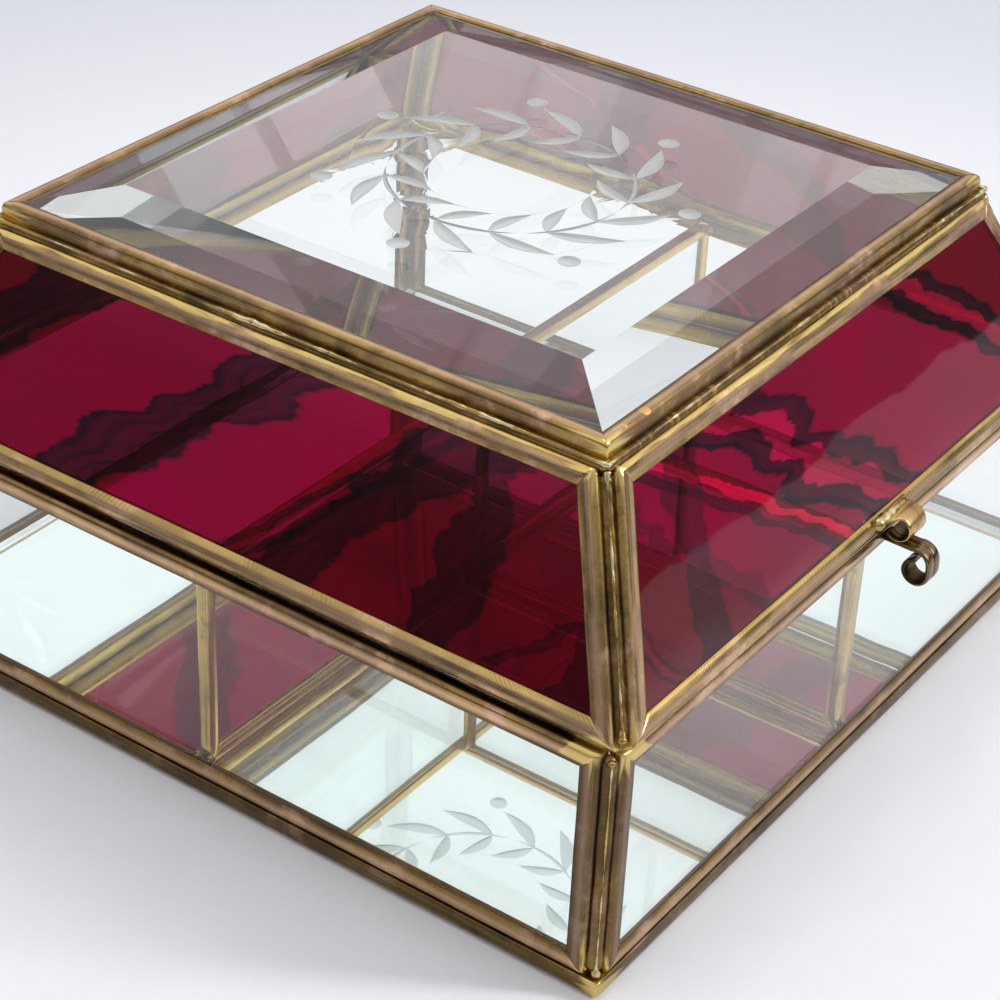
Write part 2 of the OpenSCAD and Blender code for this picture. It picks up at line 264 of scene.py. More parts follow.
drawn_lines, s, given, result = new_group(
    "drawn lines",
    [("Vector", "NodeSocketVector", None), ("Lines", "NodeSocketFloat", 900.0),
     ("Along", "NodeSocketFloat", 14.0)],
    [("Fine", "NodeSocketFloat"), ("Broad", "NodeSocketFloat")])
fine_scale = s.add("CombineXYZ", {"X": given.outputs["Along"], "Y": given.outputs["Lines"], "Z": 1.0})
fine_at = s.add("VectorMath", {0: given.outputs["Vector"], 1: fine_scale.outputs[0]}, operation="MULTIPLY")
broad_lines = s.maths("MULTIPLY", given.outputs["Lines"], 0.3)
broad_scale = s.add("CombineXYZ", {"X": s.maths("MULTIPLY", given.outputs["Along"], 2.0), "Y": broad_lines, "Z": 1.0})
broad_at = s.add("VectorMath", {0: given.outputs["Vector"], 1: broad_scale.outputs[0]}, operation="MULTIPLY")
s.put(result.inputs["Fine"], s.noise(fine_at.outputs[0], 1.0, 2.0))
s.put(result.inputs["Broad"], s.noise(broad_at.outputs[0], 1.0, 3.0, 0.6))
print("group:", drawn_lines.name)

# %% Shader group: tarnish in patches
tarnish, s, given, result = new_group(
    "tarnish",
    [("Vector", "NodeSocketVector", None), ("Size", "NodeSocketFloat", 60.0),
     ("Gold", "NodeSocketColor", (0.5, 0.35, 0.12, 1)), ("Brown", "NodeSocketColor", (0.3, 0.2, 0.1, 1)),
     ("Olive", "NodeSocketColor", (0.2, 0.17, 0.08, 1)), ("Pink", "NodeSocketColor", (0.5, 0.3, 0.2, 1))],
    [("Color", "NodeSocketColor"), ("Dull", "NodeSocketFloat")])
patch = s.noise(given.outputs["Vector"], given.outputs["Size"], 5.0, 0.62)
shifted = s.add("VectorMath", {0: given.outputs["Vector"], 1: (0.37, 0.11, 0.23)}, operation="ADD")
second = s.noise(shifted.outputs[0], s.maths("MULTIPLY", given.outputs["Size"], 1.7), 5.0, 0.65)
mottle = s.noise(shifted.outputs[0], s.maths("MULTIPLY", given.outputs["Size"], 40.0), 3.0, 0.7)
base = s.blend(s.band(patch, 0.38, 0.62), given.outputs["Gold"], given.outputs["Brown"])
base = s.blend(s.band(second, 0.52, 0.68, 0.0, 0.8), base, given.outputs["Pink"])
base = s.blend(s.band(second, 0.46, 0.34, 0.0, 0.9), base, given.outputs["Olive"])
base = s.blend(s.band(mottle, 0.42, 0.3, 0.0, 0.5), base, rgb(62, 48, 28))
base = s.blend(s.band(mottle, 0.6, 0.75, 0.0, 0.45), base, rgb(214, 184, 120))
s.put(result.inputs["Color"], base)
s.put(result.inputs["Dull"], s.band(patch, 0.35, 0.65))
print("group:", tarnish.name)

# %% Came, solder and strip materials
GOLD = rgb(180, 147, 86)
BROWN = rgb(140, 110, 78)
OLIVE = rgb(114, 98, 60)
# PINK is a tarnish tone, and on came it is also the painted highlight along each bar's crest.
PINK = rgb(230, 190, 158)


def use_group(s, group, **values):
    node = s.tree.nodes.new("ShaderNodeGroup")
    node.node_tree = group
    for name, value in values.items():
        s.put(node.inputs[name], value)
    return node


def brass(name, lines, along, gold=GOLD, brown=BROWN, olive=OLIVE, pink=PINK,
          shine=(0.2, 0.36), came=False, mapped=True):
    """Brass with tarnish patches and drawn lines; came adds solder, cracked edges, a painted highlight along its crest
    and painted shade towards its edges.
    """
    made, s = new_material(name)
    coords = s.add("TexCoord")
    own = coords.outputs["UV" if mapped else "Object"]
    stain = use_group(s, tarnish, Vector=coords.outputs["Object"], Gold=gold,
                      Brown=brown, Olive=olive, Pink=pink)
    line = use_group(s, drawn_lines, Vector=own, Lines=lines, Along=along)
    colour = s.blend(s.band(line.outputs["Broad"], 0.45, 0.65, 0.0, 0.45),
                     stain.outputs["Color"], rgb(92, 72, 46))
    colour = s.blend(s.band(line.outputs["Fine"], 0.56, 0.72, 0.0, 0.35), colour, rgb(222, 190, 120))
    rough = s.maths("ADD", s.band(stain.outputs["Dull"], 0.0, 1.0, *shine),
                    s.band(line.outputs["Fine"], 0.3, 0.7, -0.05, 0.05))
    ridge = s.maths("ADD", s.maths("MULTIPLY", line.outputs["Broad"], 0.8),
                    s.maths("MULTIPLY", line.outputs["Fine"], 0.3))
    if came:
        def read_mark(mark):
            return s.add("Attribute", attribute_name=mark, attribute_type="GEOMETRY").outputs["Fac"]
        runs = use_group(s, drawn_lines, Vector=own, Lines=700.0, Along=70.0).outputs["Fine"]
        flooded = s.maths("ADD", s.maths("MULTIPLY", read_mark("joint"), read_mark("fold")), s.band(runs, 0.3, 0.7, -0.4, 0.4))
        flooded = s.band(flooded, 0.34, 0.72)
        place = s.add("SeparateXYZ", {"Vector": own}).outputs["X"]
        beat = s.maths("PINGPONG", s.maths("ADD", place, s.maths("MULTIPLY", line.outputs["Broad"], 0.0005)), 0.00045)
        rung = s.maths("MULTIPLY", s.band(beat, 0.00014, 0.00002), s.band(s.noise(own, 60.0, 2.0), 0.46, 0.6))
        rung = s.maths("MULTIPLY", rung, read_mark("ladder"))
        # Painted highlight: the crest of each bar is blended towards pink.
        colour = s.blend(s.maths("MULTIPLY", read_mark("crown_highlight"), 0.6), colour, pink)
        # Painted shade: the lip darkens towards both its edges, and whole upright posts darken as a painted dark
        # reflection.
        colour = s.blend(read_mark("painted_shade"), colour, s.blend(0.3, rgb(50, 42, 32), colour))
        colour = s.blend(s.maths("MULTIPLY", read_mark("ladder"), 0.4), colour, rgb(220, 190, 112))
        colour = s.blend(s.maths("MULTIPLY", read_mark("kept"), 0.8), colour, rgb(228, 194, 102))
        colour = s.blend(s.maths("MULTIPLY", flooded, 0.75), colour, rgb(232, 204, 124))
        colour = s.blend(s.maths("MULTIPLY", rung, 0.6), colour, rgb(92, 68, 34))
        ridge = s.maths("ADD", ridge, s.maths("MULTIPLY", flooded, 0.8))
        ridge = s.maths("SUBTRACT", ridge, s.maths("MULTIPLY", rung, 0.5))
        for spot, size in COPPER_SPOTS:
            away = s.add("VectorMath", {0: coords.outputs["Object"], 1: spot}, operation="DISTANCE").outputs["Value"]
            away = s.maths("ADD", away, s.maths("MULTIPLY", s.noise(coords.outputs["Object"], 900.0), 0.0004))
            colour = s.blend(s.band(away, size + 0.0003, size + 0.0001), colour, rgb(236, 176, 104))
    bump = s.add("Bump", {"Height": ridge, "Strength": 0.4, "Distance": 0.00005})
    finish_surface(s, Base_Color=colour, Metallic=1.0, Roughness=rough, Normal=bump.outputs[0])
    return made


COPPER_SPOTS = (((-0.0469, -0.0596, 0.08303), 0.0009), ((-0.0524, -0.0598, 0.083), 0.0004))
came_brass = brass("antique brass came", 2800.0, 12.0, shine=(0.24, 0.38), came=True)
inner_brass = brass("brass came kept inside", 2800.0, 12.0, gold=rgb(236, 198, 96), brown=rgb(198, 160, 80),
                    olive=rgb(160, 146, 66), pink=rgb(226, 190, 118), shine=(0.14, 0.26), came=True)
# Backings that fill the crevices at corners, hips and top seam are plated solder; their darker brass is painted shade
# of the crevice.
shaded_seam_brass = brass("brass plated seam", 60.0, 900.0, gold=rgb(138, 112, 66), brown=rgb(92, 72, 48), olive=rgb(78, 70, 44),
                   pink=rgb(150, 120, 92), shine=(0.26, 0.42), mapped=False)
tube_brass = brass("drawn brass tube", 60.0, 1400.0, mapped=False)
print("brass:", came_brass.name, tube_brass.name)

# %% Solder
solder, s = new_material("brassed solder")
at = s.add("TexCoord").outputs["Object"]
lumps = s.noise(at, 500.0, 4.0, 0.6)
stain = s.noise(at, 160.0, 4.0, 0.6)
colour = s.blend(s.band(stain, 0.46, 0.6), rgb(178, 146, 80), rgb(222, 204, 156))
colour = s.blend(s.band(lumps, 0.55, 0.7, 0.0, 0.7), colour, rgb(84, 66, 38))
bump = s.add("Bump", {"Height": lumps, "Strength": 0.4, "Distance": 0.0002})
finish_surface(s, Base_Color=colour, Metallic=1.0, Roughness=s.band(stain, 0.3, 0.7, 0.2, 0.34),
               Normal=bump.outputs[0])

# %% [markdown]
# ## Binding a pane
# Every frame here is the same came, wrapped round a flat pane and mitred at the
# corners. So the section is drawn once, and swept round any flat outline. The
# outlines are read from the frame: the eight corners of each pane's node.

# %% Reading a flat pane
SHEET = 0.4 * MM
FOLD = 0.25 * MM


def unique_points(node):
    seen_at = {}
    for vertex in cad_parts[node].data.vertices:
        seen_at.setdefault(tuple(round(c, 6) for c in vertex.co), vertex.co.copy())
    return list(seen_at.values())


def flat_slab(node):
    """The outline of a flat node's outward face, its normal and its thickness."""
    points = unique_points(node)
    centre = sum(points, Vector()) / len(points)
    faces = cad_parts[node].data.polygons
    widest = max(faces, key=lambda f: f.area)
    normal = widest.normal.copy()
    outward = Vector((centre.x, centre.y, 0)) + Vector((0, 0, -0.001 * (centre.z < 0.01)))
    if normal.dot(outward) < 0:
        normal.negate()
    top = max((p - centre).dot(normal) for p in points)
    face = [p for p in points if (p - centre).dot(normal) > 0]
    middle = sum(face, Vector()) / len(face)
    across = (face[0] - middle).normalized()
    up = normal.cross(across)
    face.sort(key=lambda p: math.atan2((p - middle).dot(up), (p - middle).dot(across)))
    return face, normal, 2 * top


def grown(outline, normal, by):
    """The outline moved outward by a distance on every side, in its own plane."""
    count = len(outline)
    inward = [normal.cross(outline[(k + 1) % count] - outline[k]).normalized() for k in range(count)]
    return [p - (inward[k - 1] + inward[k]) / (1 + inward[k - 1].dot(inward[k])) * by
            for k, p in enumerate(outline)]


for name in ("front_pane", "ruby_pane_left", "floor_pane"):
    outline, normal, thick = flat_slab(name)
    print(name, [round(c, 2) for c in normal], round(thick / MM, 2), "mm thick")

# %% The section of the came
def came_section(lip, thick):
    """Closed outline of the folded strip: inward from its edge, and below its face."""
    crest = 0.48 * lip

    def side(wide, deep, quarter):
        arch = [(lip + (crest - lip) * t, -0.9 * SHEET * (1 - t) ** 2.4) for t in (0, 0.08, 0.2, 0.35, 0.5, 0.65, 0.8)]
        turn = [(wide * (1 - math.sin(a) ** 0.77), -deep * (1 - math.cos(a) ** 0.77))
                for a in (math.radians(90 * k / quarter) for k in range(quarter + 1))]
        return arch + turn
    upper = side(crest, thick / 2 - 0.2 * MM, 10)
    lower = [(u, -thick - w) for u, w in reversed(side(FOLD, FOLD, 5))]
    inner = [(lip - 0.05 * MM, SHEET - thick), (SHEET, SHEET - thick), (SHEET, -2 * SHEET),
             (2 * SHEET, -SHEET), (lip - 0.05 * MM, -SHEET)]
    return upper + lower + inner


def arc_lengths(section):
    total, lengths = 0.0, [0.0]
    for a, b in zip(section, section[1:] + section[:1]):
        total += math.dist(a, b)
        lengths.append(total)
    return lengths


print("came section:", len(came_section(3.3 * MM, 2.8 * MM)), "points")

# %% Sweeping it round an outline
MARKS = ("joint", "fold", "crown_highlight", "painted_shade", "ladder", "kept")


def came_frame(name, outline, normal, thick, lip, body, node, finish, post_dark_reflection=0.0, wobble=0.07 * MM):
    """Came mitred round an outline, a little uneven, creased at its mitres."""
    section = came_section(lip, thick)
    lengths = arc_lengths(section)
    count = len(outline)
    inward = [normal.cross(outline[(k + 1) % count] - outline[k]).normalized() for k in range(count)]
    corner = [(inward[k - 1] + inward[k]) / (1 + inward[k - 1].dot(inward[k])) for k in range(count)]
    bm = bmesh.new()
    uv = bm.loops.layers.uv.new("bar")
    joint, fold, crown_highlight, painted_shade, ladder, kept = (bm.verts.layers.float.new(mark) for mark in MARKS)
    for side in range(count):
        nxt = (side + 1) % count
        start = [outline[side] + corner[side] * u + normal * w for u, w in section]
        end = [outline[nxt] + corner[nxt] * u + normal * w for u, w in section]
        length = (outline[nxt] - outline[side]).length
        upright = abs((outline[nxt] - outline[side]).normalized().z) > 0.95
        low_rail = body == "lid" and max(outline[side].z, outline[nxt].z) < 50 * MM
        blobbed = body == "base" and not upright and min(outline[side].z, outline[nxt].z) > 40 * MM
        under_seam = body == "lid" and min(outline[side].z, outline[nxt].z) > 70 * MM and abs(normal.z) < 0.9
        steps = [0.0, 0.00015, 0.0009, 0.0044, 0.0054] + [0.004 * k for k in range(2, int(length / 0.004))]
        steps = [v for v in steps if v < length - 0.0062] + [length - v for v in (0.0054, 0.0044, 0.0009, 0.00015, 0.0)]
        rings = []
        for v in steps:
            t = v / length
            near = min(v, length - v)
            crease = 0.07 * MM if near < 0.0001 else 0.0
            ring = []
            for (a, b), (u, w) in zip(zip(start, end), section):
                point = a.lerp(b, t)
                sway = noise.noise(point * 90 + normal * 7) * wobble * min(1, near / 0.006)
                edge = 1 if u > SHEET else 0.4
                depth = crease if w > -thick / 2 else -crease
                vertex = bm.verts.new(point - normal * depth + normal * sway * 0.4 * edge
                                      + inward[side] * (sway + crease * (u < FOLD)))
                across = abs(u / lip - 0.5) * 2
                vertex[joint] = max(0.0, 1 - near / 0.009, 0.9 * under_seam)
                vertex[fold] = max(0.0, 1 - u / (0.6 * lip), blobbed * (near < 0.005) * (u < 0.7 * lip) * 2.0)
                # crown_highlight marks the middle of the lip for the painted highlight.
                vertex[crown_highlight] = max(0.0, 1 - across * 1.6)
                # painted_shade marks the lip's edges for painted shade, and the upright posts for a painted dark
                # reflection.
                vertex[painted_shade] = max(post_dark_reflection * upright, (0.9 if post_dark_reflection and body == "base" else 0.3) * across ** 2)
                vertex[ladder] = low_rail * max(0.0, min(1.0, (u / lip - 0.5) * 4))
                vertex[kept] = max(0.0, min(1.0, (-w / thick - 0.5) * 4)) * max(0.0, min(1.0, 3 * u / lip - 0.3))
                ring.append(vertex)
            rings.append(ring)
        for (v0, ring0), (v1, ring1) in zip(zip(steps, rings), zip(steps[1:], rings[1:])):
            for k in range(len(section)):
                n = (k + 1) % len(section)
                face = bm.faces.new((ring0[k], ring0[n], ring1[n], ring1[k]))
                face.smooth = True
                for loop, (x, y) in zip(face.loops, ((v0, lengths[k]), (v0, lengths[k + 1]),
                                                     (v1, lengths[k + 1]), (v1, lengths[k]))):
                    loop[uv].uv = (x + side * 0.37, y)
    bmesh.ops.remove_doubles(bm, verts=bm.verts, dist=1e-6)
    bmesh.ops.recalc_face_normals(bm, faces=bm.faces)
    mesh = bpy.data.meshes.new(name)
    bm.to_mesh(mesh)
    bm.free()
    made = mesh_object(name, mesh, body, finish)
    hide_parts(node)
    return made


LIP = 3.3 * MM
BOUND = {   # pane: (its frame, the lip's width, the body)
    "floor_pane": ("floor_frame", LIP, "base"),
    "front_pane": ("front_frame", LIP, "base"),
    "right_pane": ("right_frame", LIP, "base"),
    "back_pane": ("back_frame", LIP, "base"),
    "left_pane": ("left_frame", LIP, "base"),
    "long_divider_pane": ("long_divider_frame", 2.4 * MM, "base"),
    "short_divider_pane": ("short_divider_frame", 2.4 * MM, "base"),
    "ruby_pane_front": ("ruby_frame_front", LIP, "lid"),
    "ruby_pane_right": ("ruby_frame_right", LIP, "lid"),
    "ruby_pane_back": ("ruby_frame_back", LIP, "lid"),
    "ruby_pane_left": ("ruby_frame_left", LIP, "lid"),
}
for pane, (rim, lip, body) in BOUND.items():
    outline, normal, thick = flat_slab(pane)
    outline = [p + normal * SHEET for p in grown(outline, normal, SHEET)]
    inside = "divider" in rim
    # Outer frames get a painted dark reflection on their upright posts and stronger painted shade at the lip's edges on
    # the walls.
    came_frame("came_" + rim, outline, normal, thick + 2 * SHEET, lip, body, rim,
               inner_brass if inside else came_brass, post_dark_reflection=0.0 if inside else 0.85)

low, high = (Vector(c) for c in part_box("top_frame"))
top_outline = [Vector((x, y, high.z)) for x, y in
               ((low.x, low.y), (high.x, low.y), (high.x, high.y), (low.x, high.y))]
came_frame("came_top_frame", top_outline, Vector((0, 0, 1)), high.z - low.z, 2.6 * MM, "lid", "top_frame", came_brass)
print("came frames:", len(BOUND) + 1)

# %% [markdown]
# ## The clear panes
# Window glass is nearly colourless, a little green where it is thick, and never
# quite flat. A node's own faces lie exactly on the brass that grips them, and a ray
# that meets two surfaces at one place can take either. So each pane is rebuilt a
# hair thinner, as a fine grid that bows by hundredths of a millimetre.

# %% Glass materials
def glass(name, tint, index=1.5, film=0.0):
    made, s = new_material(name)
    finish_surface(s, Base_Color=tint, Transmission_Weight=1.0, Roughness=0.0, IOR=index,
                   Coat_Weight=film, Coat_Roughness=0.02)
    return made


clear_glass = glass("clear glass", (0.975, 0.996, 0.99, 1))
mirror_glass = glass("mirror's glass", (0.975, 0.998, 0.99, 1))
thick_glass = glass("bevelled glass", (0.96, 0.985, 0.975, 1), index=1.45, film=0.8)

silver, s = new_material("silvering")
haze = s.noise(s.add("TexCoord").outputs["Object"], 30.0, 4.0)
finish_surface(s, Base_Color=s.blend(haze, rgb(244, 251, 250), rgb(250, 254, 253)), Metallic=1.0,
               Roughness=s.band(haze, 0.3, 0.7, 0.005, 0.03))


# %% A pane as a grid
def pane(name, node, body, material, slot, bow=0.02 * MM, ease=0.02 * MM, cells=24, behind=None):
    """A flat node's pane, a hair thinner, gently bowed on both faces, mapped in metres."""
    outline, normal, thick = flat_slab(node)
    below = [p - normal * thick for p in outline]
    bm = bmesh.new()
    uv = bm.loops.layers.uv.new("pane")
    grids = []
    for corners, toward in ((outline, -1), (below, 1)):
        a, b, c, d = corners
        grid = []
        for j in range(cells + 1):
            row = []
            for i in range(cells + 1):
                u, v = i / cells, j / cells
                point = (a.lerp(b, u)).lerp(d.lerp(c, u), v)
                inside = min(u, 1 - u, v, 1 - v) * 4
                wave = noise.noise(point * 45 + normal * toward * 3) * bow * min(1, inside)
                row.append(bm.verts.new(point + normal * (toward * ease + wave)))
            grid.append(row)
        grids.append(grid)
    flat = abs(normal.z) > 0.9
    level = Vector((1, 0, 0)) if flat else Vector((0, 0, 1)).cross(normal).normalized()
    rise = normal.cross(level)
    middle = sum(outline, Vector()) / 4
    foot = min(p.dot(rise) for p in outline)
    for grid in grids:
        for j in range(cells):
            for i in range(cells):
                face = bm.faces.new((grid[j][i], grid[j][i + 1], grid[j + 1][i + 1], grid[j + 1][i]))
                face.smooth = True
                face.material_index = int(behind is not None and grid is grids[1])
                for loop in face.loops:
                    place = loop.vert.co
                    loop[uv].uv = ((place - middle).dot(level), place.dot(rise) - foot)
    rim = [(0, i) for i in range(cells)] + [(j, cells) for j in range(cells)]
    rim += [(cells, cells - i) for i in range(cells)] + [(cells - j, 0) for j in range(cells)]
    for (j, i), (jn, inn) in zip(rim, rim[1:] + rim[:1]):
        edge_face = bm.faces.new((grids[0][j][i], grids[1][j][i], grids[1][jn][inn], grids[0][jn][inn]))
        edge_face.material_index = int(behind is not None)
        for grid in grids:
            bm.edges.get((grid[j][i], grid[jn][inn])).smooth = False
    bmesh.ops.recalc_face_normals(bm, faces=bm.faces)
    mesh = bpy.data.meshes.new(name)
    bm.to_mesh(mesh)
    bm.free()
    made = mesh_object(name, mesh, body, material)
    if behind:
        mesh.materials.append(behind)
    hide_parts(node)
    return made


for node in ("floor_pane", "front_pane", "right_pane", "back_pane", "left_pane",
             "long_divider_pane", "short_divider_pane"):
    pane("glass_" + node, node, "base", clear_glass, "clear_glass")
pane("glass_of_mirror", "mirror_glass", "base", mirror_glass, "mirror_glass", bow=0.0)
pane("silver_of_mirror", "mirror_silvering", "base", silver, "silvering", bow=0.004 * MM)
print("clear panes done")

# %% [markdown]
# ## Ruby art glass
# The sloping panes are cut from one sheet of streaky glass: clear ruby, with wisps
# of a second, nearly black glass that was stirred in while it was hot. Each wisp is
# banded like an agate. One wisp is a line across the pane, pushed to and fro by
# coarse and fine noise, and its colour depends only on the distance to that line.

# %% Shader group: one wisp
wisp, s, given, result = new_group(
    "wisp",
    [("Vector", "NodeSocketVector", None), ("Place", "NodeSocketFloat", 0.0),
     ("Slant", "NodeSocketFloat", 1.0), ("Width", "NodeSocketFloat", 0.01),
     ("Jagged", "NodeSocketFloat", 0.003), ("Seed", "NodeSocketFloat", 0.0)],
    [("Dark", "NodeSocketFloat"), ("Vein", "NodeSocketFloat")])
split = s.add("SeparateXYZ", {"Vector": given.outputs["Vector"]})
stretch = s.maths("SQRT", s.maths("ADD", s.maths("MULTIPLY", given.outputs["Slant"], given.outputs["Slant"]), 1.0))
line_at = s.maths("ADD", given.outputs["Place"], s.maths("MULTIPLY", split.outputs["Y"], given.outputs["Slant"]))
offset = s.maths("DIVIDE", s.maths("SUBTRACT", split.outputs["X"], line_at), stretch)
along = s.maths("MULTIPLY", split.outputs["Y"], stretch)
swept = s.add("CombineXYZ", {"X": along, "Y": s.maths("MULTIPLY", offset, 0.35), "Z": given.outputs["Seed"]}).outputs[0]
coarse = s.maths("SUBTRACT", s.noise(swept, 110.0, 1.0), 0.5)
fine = s.maths("SUBTRACT", s.noise(swept, 620.0, 4.0, 0.68), 0.5)
push = s.maths("ADD", s.maths("MULTIPLY", coarse, 3.6), s.maths("MULTIPLY", fine, 1.1))
offset = s.maths("ADD", offset, s.maths("MULTIPLY", push, given.outputs["Jagged"]))
swell = s.band(s.noise(swept, 40.0, 1.0), 0.25, 0.75, 0.35, 0.75)
far = s.maths("DIVIDE", offset, s.maths("MULTIPLY", given.outputs["Width"], swell))
bands = s.add("ValToRGB", {"Fac": s.maths("ADD", s.maths("MULTIPLY", far, 0.5), 0.5)})
ramp = bands.color_ramp
ramp.interpolation = "LINEAR"
ramp.elements[0].color = ramp.elements[1].color = (0, 0, 0, 1)
for place, value in ((0.02, 0.0), (0.07, 1.0), (0.14, 1.0), (0.21, 0.86), (0.33, 0.93), (0.38, 1.0), (0.45, 0.86),
                     (0.58, 0.84), (0.64, 1.0), (0.72, 0.84), (0.82, 0.94), (0.91, 1.0), (0.98, 0.0)):
    stop = ramp.elements.new(place)
    stop.color = (value, value, value, 1)
s.put(result.inputs["Dark"], bands.outputs["Color"])
s.put(result.inputs["Vein"], s.band(s.maths("ABSOLUTE", far), 0.36, 0.26))
print("group:", wisp.name)

# %% Ruby panes
RUBY = rgb(120, 0, 28)
VEIN = rgb(255, 0, 80)
PLUM = rgb(14, 2, 12)
ruby_back = glass("ruby glass behind the streaks", rgb(214, 96, 120))


def ruby(name, wisps, cloud_at):
    """Ruby glass; a wisp is (place, slant, width, jagged in mm, dark, vein, seed)."""
    made, s = new_material(name)
    coords = s.add("TexCoord")
    own = coords.outputs["UV"]
    cloud = s.noise(s.add("VectorMath", {0: own, 1: cloud_at}, operation="ADD").outputs[0], 30.0, 4.0, 0.6)
    colour = s.blend(s.band(cloud, 0.4, 0.7, 0.0, 0.8), RUBY, rgb(98, 1, 25))
    for place, slant, width, jagged, dark, vein, seed in wisps:
        one = use_group(s, wisp, Vector=own, Place=place * MM, Slant=slant, Width=width * MM,
                        Jagged=jagged * MM, Seed=seed)
        if dark:
            colour = s.blend(s.maths("MULTIPLY", one.outputs["Dark"], dark), colour, PLUM)
        if vein:
            colour = s.blend(s.maths("MULTIPLY", one.outputs["Vein"], vein), colour, VEIN)
    waves = s.noise(coords.outputs["Object"], 40.0, 2.0)
    bump = s.add("Bump", {"Height": waves, "Strength": 0.5, "Distance": 0.0001})
    finish_surface(s, Base_Color=colour, Transmission_Weight=0.59, Roughness=0.02, IOR=1.5, Normal=bump.outputs[0])
    return made


RUBY_PANES = {
    "ruby_pane_left": [(-87, 1.51, 9, 2.5, 0.95, 0, 0.1), (-37.5, 1.31, 9.5, 2.6, 1.0, 0, 0.2), (-1.5, 1.03, 1.3, 1.0, 0.8, 0, 0.3),
                       (2.5, 1.03, 1.5, 1.0, 0.85, 0, 0.3), (9, 0.9, 9, 3.5, 0.9, 0, 0.4), (41, 0.1, 9, 3.5, 0.85, 0, 0.5),
                       (47, 1.2, 1.6, 1.5, 0.7, 0, 0.6), (64, 0.4, 9, 3.0, 0.7, 0, 0.7)],
    "ruby_pane_front": [(-4.4, -1.36, 4.6, 1.3, 0, 0.85, 0.1), (-8.6, -1.36, 1.6, 1.3, 0.9, 0, 0.1), (9.0, -1.18, 13, 3.6, 1.0, 0.35, 0.2),
                        (68, -1.33, 7.5, 2.2, 1.0, 0.4, 0.3), (-50, 0.2, 9, 3.0, 0.75, 0, 0.4), (-30, -1.0, 3, 3.0, 0.6, 0, 0.5),
                        (-58, -0.6, 3, 2.5, 0.6, 0.2, 0.6)],
    "ruby_pane_right": [(-38, 0.9, 10, 3.2, 0.9, 0, 0.1), (2, 1.1, 5, 2.2, 0.9, 0.5, 0.2), (34, -0.7, 11, 3.4, 0.9, 0, 0.3),
                        (58, 0.8, 3, 1.8, 0.7, 0, 0.4)],
    "ruby_pane_back": [(-44, -0.8, 9, 3.0, 0.9, 0, 0.5), (-8, 0.6, 12, 3.6, 0.95, 0, 0.6), (22, 1.0, 2, 1.4, 0.8, 0.6, 0.7),
                       (44, -0.9, 8, 2.8, 0.9, 0, 0.8)],
}
for order, (node, wisps) in enumerate(RUBY_PANES.items()):
    stained = ruby("ruby glass " + node.split("_")[-1], wisps, (order * 0.3, 0.1, 0))
    pane("glass_" + node, node, "lid", stained, "ruby_glass", bow=0.05 * MM, behind=ruby_back)
print("ruby panes:", len(RUBY_PANES))

# %% [markdown]
# ## The cut and bevelled top pane
# The top pane is thick plate with a wide polished bevel. A wheel has cut shallow
# hollows into it: long tapered ones for the stem and leaves of a wreath, round ones
# for its berries. They are left unpolished, so they look frosted. The hollows are
# real shape. The flat face is cut into triangles along their outlines, and the points
# inside an outline sink by a formula, deepest along the middle of each hollow.

# %% Hollows of the cutting wheel
def round_hollow(x, y, long, wide, turn, deep=0.32):
    """An oval hollow: rings of points, and its depth at a place."""
    c, k = math.cos(math.radians(turn)), math.sin(math.radians(turn))
    rings = []
    for part, count in ((1.0, 32), (0.7, 20), (0.38, 12)):
        rings.append([(x + part * (long * math.cos(a) * c - wide * math.sin(a) * k),
                       y + part * (long * math.cos(a) * k + wide * math.sin(a) * c))
                      for a in (2 * math.pi * n / count for n in range(count))])

    def depth(px, py):
        u = ((px - x) * c + (py - y) * k) / long
        v = ((py - y) * c - (px - x) * k) / wide
        return deep * max(0.0, 1 - u * u - v * v)
    return rings, depth


def blade_hollow(root, tip, wide, bend=0.0, deep=0.28, full=0.45, steps=16):
    """A tapered hollow from root to tip, bowed sideways, widest at the share full."""
    (x0, y0), (x1, y1) = root, tip
    length = math.dist(root, tip)
    side = ((y0 - y1) / length, (x1 - x0) / length)
    power = math.log(0.5) / math.log(full)
    spine = []
    for n in range(steps + 1):
        t = n / steps
        sag = 4 * bend * t * (1 - t)
        half = wide / 2 * math.sin(math.pi * t ** power)
        spine.append((x0 + (x1 - x0) * t + side[0] * sag, y0 + (y1 - y0) * t + side[1] * sag, half))

    def line(part):
        return [(x + side[0] * half * part, y + side[1] * half * part) for x, y, half in spine]
    outline = line(1.0) + line(-1.0)[-2:0:-1]

    def depth(px, py):
        best = 0.0
        for (ax, ay, ah), (bx, by, bh) in zip(spine, spine[1:]):
            ex, ey = bx - ax, by - ay
            t = max(0.0, min(1.0, ((px - ax) * ex + (py - ay) * ey) / (ex * ex + ey * ey)))
            half = ah + (bh - ah) * t
            away = math.dist((px, py), (ax + ex * t, ay + ey * t))
            if half > away:
                best = max(best, deep * (2 * half / wide) ** 0.5 * (1 - (away / half) ** 2))
        return best
    return [outline, line(0.5)[1:-1], line(0.0)[1:-1], line(-0.5)[1:-1]], depth


# %% A wreath in the common wheel-cut manner
WREATH = (0.0, -2.0)        # its middle, in mm from the box's middle
RING = 21.0                 # radius of its stem
STEPS = 14                  # pairs of leaves


def on_wreath(angle, radius):
    return (WREATH[0] + radius * math.cos(angle), WREATH[1] + radius * math.sin(angle))


